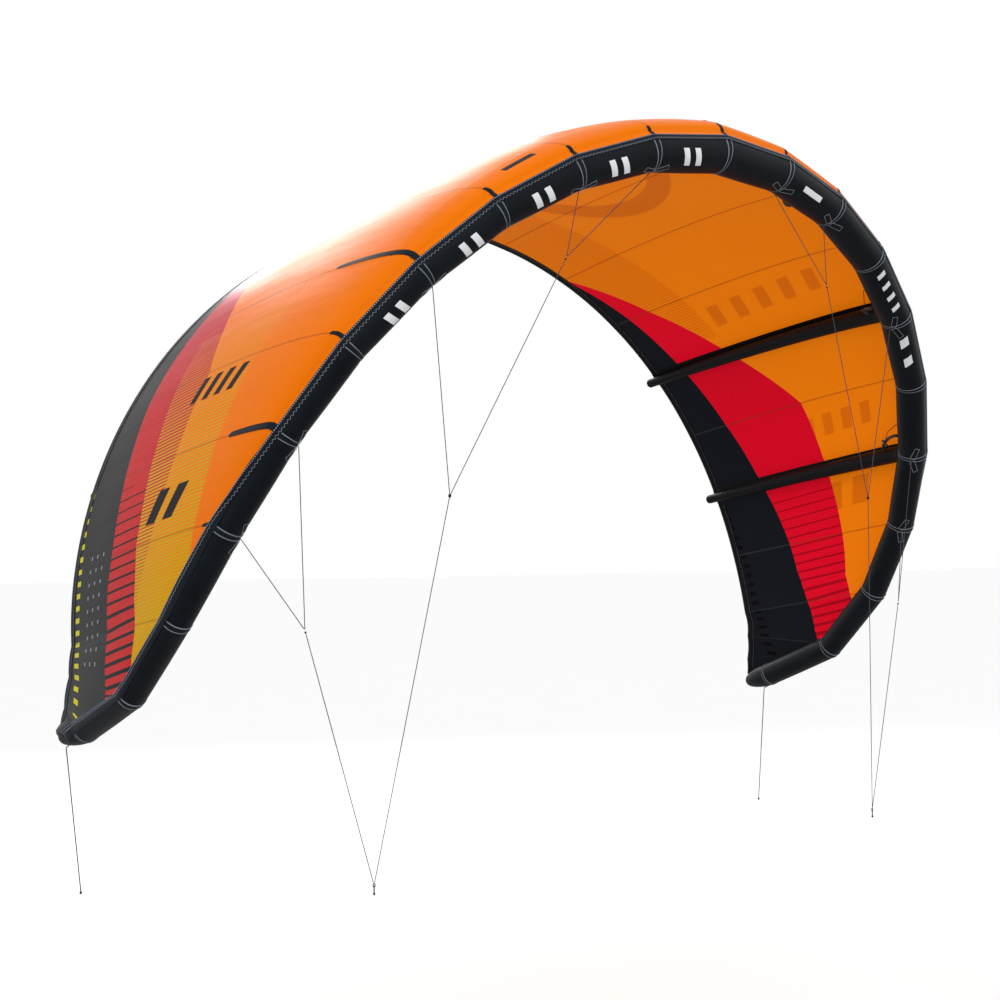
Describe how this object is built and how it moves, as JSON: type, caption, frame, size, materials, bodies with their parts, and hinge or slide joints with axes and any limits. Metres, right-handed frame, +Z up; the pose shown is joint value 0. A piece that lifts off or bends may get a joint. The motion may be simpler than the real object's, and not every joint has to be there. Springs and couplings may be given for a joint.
{
  "type": "kitesurf kite",
  "caption": "Inflatable kitesurf kite in its flying arc: tube leading edge, struts, curved cloth canopy, bridle lines and short back line pigtails.",
  "frame": {"origin": "centre of the leading edge tube at the middle seam, which is the kite's top front point in flight", "axes": "+X towards the right wing (the kite is symmetric about X = 0), +Y back towards the trailing edge, +Z up"},
  "size_m": [3.6638, 1.9291, 2.8395],
  "materials": {
    "black_dacron": "satin woven polyester, blue-black",
    "canopy_ripstop": "thin ripstop, orange with red and dark rear bands",
    "black_hem": "folded and stitched woven polyester",
    "clear_bladder": "thin translucent film",
    "black_rubber": "matt",
    "black_plastic": "moulded, fine grain",
    "grey_line": "braided line",
    "black_webbing": "woven webbing and knotted cord"
  },
  "bodies": {
    "kite": {"bridle_knot_lower_left": "black_webbing", "bridle_knot_lower_right": "black_webbing", "bridle_knot_middle_left": "black_webbing", "bridle_knot_middle_right": "black_webbing", "bridle_knot_upper_left": "black_webbing", "bridle_knot_upper_right": "black_webbing", "bridle_link_left": "grey_line", "bridle_link_right": "grey_line", "bridle_lower_left": "grey_line", "bridle_lower_right": "grey_line", "bridle_main_left": "grey_line", "bridle_main_right": "grey_line", "bridle_middle_left": "grey_line", "bridle_middle_right": "grey_line", "bridle_tip_left": "grey_line", "bridle_tip_right": "grey_line", "bridle_upper_left": "grey_line", "bridle_upper_right": "grey_line", "canopy_centre_left": "canopy_ripstop", "canopy_centre_right": "canopy_ripstop", "canopy_mid_left": "canopy_ripstop", "canopy_mid_right": "canopy_ripstop", "canopy_tip_left": "canopy_ripstop", "canopy_tip_right": "canopy_ripstop", "inflate_valve_base": "black_plastic", "inflation_hose_centre": "black_rubber", "inflation_hose_inner_left": "black_rubber", "inflation_hose_inner_right": "black_rubber", "inflation_hose_outer_left": "black_rubber", "inflation_hose_outer_right": "black_rubber", "leading_edge_bladder": "clear_bladder", "leading_edge_centre": "black_dacron", "leading_edge_left": "black_dacron", "leading_edge_right": "black_dacron", "strut_bladder_centre": "clear_bladder", "strut_bladder_inner_left": "clear_bladder", "strut_bladder_inner_right": "clear_bladder", "strut_bladder_outer_left": "clear_bladder", "strut_bladder_outer_right": "clear_bladder", "strut_centre": "black_dacron", "strut_inner_left": "black_dacron", "strut_inner_right": "black_dacron", "strut_outer_left": "black_dacron", "strut_outer_right": "black_dacron", "tip_loop_left": "black_webbing", "tip_loop_right": "black_webbing", "trailing_edge_hem": "black_hem"},
    "front_loop_right": {"front_line_loop_right": "black_webbing"},
    "back_pigtail_right": {"back_line_right": "grey_line", "back_stopper_right": "black_webbing"},
    "front_loop_left": {"front_line_loop_left": "black_webbing"},
    "back_pigtail_left": {"back_line_left": "grey_line", "back_stopper_left": "black_webbing"},
    "valve_cap": {"inflate_valve_cap": "black_rubber"},
    "clip_centre": {"hose_clip_centre": "black_plastic"},
    "clip_inner_left": {"hose_clip_inner_left": "black_plastic"},
    "clip_inner_right": {"hose_clip_inner_right": "black_plastic"},
    "clip_outer_left": {"hose_clip_outer_left": "black_plastic"},
    "clip_outer_right": {"hose_clip_outer_right": "black_plastic"}
  },
  "joints": [
    {"name": "front_loop_swing_right", "type": "hinge", "parent": "kite", "child": "front_loop_right", "pos_m": [1.234, 0.422, -2.534], "axis": [1, 0, 0], "range_deg": [-60, 60]},
    {"name": "back_pigtail_swing_right", "type": "hinge", "parent": "kite", "child": "back_pigtail_right", "pos_m": [1.814, 1.618, -2.128], "axis": [1, 0, 0], "range_deg": [-65, 65]},
    {"name": "front_loop_swing_left", "type": "hinge", "parent": "kite", "child": "front_loop_left", "pos_m": [-1.234, 0.422, -2.534], "axis": [1, 0, 0], "range_deg": [-60, 60]},
    {"name": "back_pigtail_swing_left", "type": "hinge", "parent": "kite", "child": "back_pigtail_left", "pos_m": [-1.814, 1.618, -2.128], "axis": [1, 0, 0], "range_deg": [-65, 65]},
    {"name": "valve_cap_hinge", "type": "hinge", "parent": "kite", "child": "valve_cap", "pos_m": [0.46544, 0.10823, -0.09602], "axis": [0.9482, 0.1061, -0.2994], "range_deg": [0, 95]},
    {"name": "clip_centre_hinge", "type": "hinge", "parent": "kite", "child": "clip_centre", "pos_m": [0.07896, 0.14199, 0.01032], "axis": [0.1246, -0.5162, -0.8474], "range_deg": [0, 55]},
    {"name": "clip_inner_left_hinge", "type": "hinge", "parent": "kite", "child": "clip_inner_left", "pos_m": [-1.12946, 0.29851, -0.46877], "axis": [-0.6674, 0.7364, 0.1108], "range_deg": [0, 55]},
    {"name": "clip_inner_right_hinge", "type": "hinge", "parent": "kite", "child": "clip_inner_right", "pos_m": [1.12946, 0.29851, -0.46877], "axis": [-0.6674, -0.7364, -0.1108], "range_deg": [0, 55]},
    {"name": "clip_outer_left_hinge", "type": "hinge", "parent": "kite", "child": "clip_outer_left", "pos_m": [-1.51048, 0.5379, -0.992], "axis": [-0.5283, 0.8145, -0.2396], "range_deg": [0, 55]},
    {"name": "clip_outer_right_hinge", "type": "hinge", "parent": "kite", "child": "clip_outer_right", "pos_m": [1.51048, 0.5379, -0.992], "axis": [-0.5283, -0.8145, 0.2396], "range_deg": [0, 55]}
  ]
}
